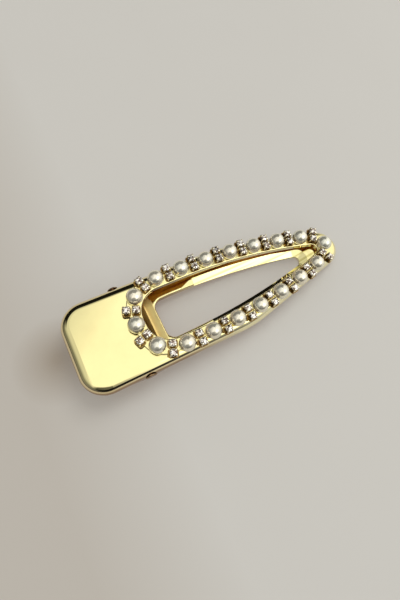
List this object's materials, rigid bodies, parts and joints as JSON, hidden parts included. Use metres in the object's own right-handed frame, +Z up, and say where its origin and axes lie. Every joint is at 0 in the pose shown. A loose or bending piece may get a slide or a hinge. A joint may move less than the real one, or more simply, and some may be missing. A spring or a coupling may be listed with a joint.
{
  "type": "barrette",
  "caption": "Hinged gold hair clip with a spring, a drop-shaped opening and a band of pearls and paired clear stones round it.",
  "frame": {"origin": "on the table that the closed clip lies on, below the middle of its length and width", "axes": "+X along the clip towards its tip, +Z up from the table; the clip is the same on both sides of Y = 0"},
  "size_m": [0.0742, 0.0232, 0.0114],
  "materials": {
    "gold": "mirror-polished pale gold plating",
    "spring_steel": "drawn wire",
    "pearl": "pearl lustre",
    "crystal": "cut and polished"
  },
  "bodies": {
    "upper_lever": {"top_plate": "gold", "band_strip": "gold", "hinge_pin": "gold", "torsion_spring": "spring_steel", "pearl_01": "pearl", "pearl_02": "pearl", "pearl_03": "pearl", "pearl_04": "pearl", "pearl_05": "pearl", "pearl_06": "pearl", "pearl_07": "pearl", "pearl_08": "pearl", "pearl_09": "pearl", "pearl_10": "pearl", "pearl_11": "pearl", "pearl_12": "pearl", "pearl_13": "pearl", "pearl_14": "pearl", "pearl_15": "pearl", "pearl_16": "pearl", "pearl_17": "pearl", "pearl_18": "pearl", "setting_01": "gold", "setting_02": "gold", "setting_03": "gold", "setting_04": "gold", "setting_05": "gold", "setting_06": "gold", "setting_07": "gold", "setting_08": "gold", "setting_09": "gold", "setting_10": "gold", "setting_11": "gold", "setting_12": "gold", "setting_13": "gold", "setting_14": "gold", "setting_15": "gold", "setting_16": "gold", "setting_17": "gold", "setting_18": "gold", "stones_01": "crystal", "stones_02": "crystal", "stones_03": "crystal", "stones_04": "crystal", "stones_05": "crystal", "stones_06": "crystal", "stones_07": "crystal", "stones_08": "crystal", "stones_09": "crystal", "stones_10": "crystal", "stones_11": "crystal", "stones_12": "crystal", "stones_13": "crystal", "stones_14": "crystal", "stones_15": "crystal", "stones_16": "crystal", "stones_17": "crystal", "stones_18": "crystal"},
    "lower_lever": {"lower_jaw": "gold"}
  },
  "joints": [
    {"name": "jaw_hinge", "type": "hinge", "parent": "upper_lever", "child": "lower_lever", "pos_m": [-0.02287, 0, 0.00606], "axis": [0, 1, 0], "range_deg": [0, 24], "stiffness_Nm_per_rad": 0.04, "springref_deg": -28.65, "deforming": ["torsion_spring"]}
  ]
}
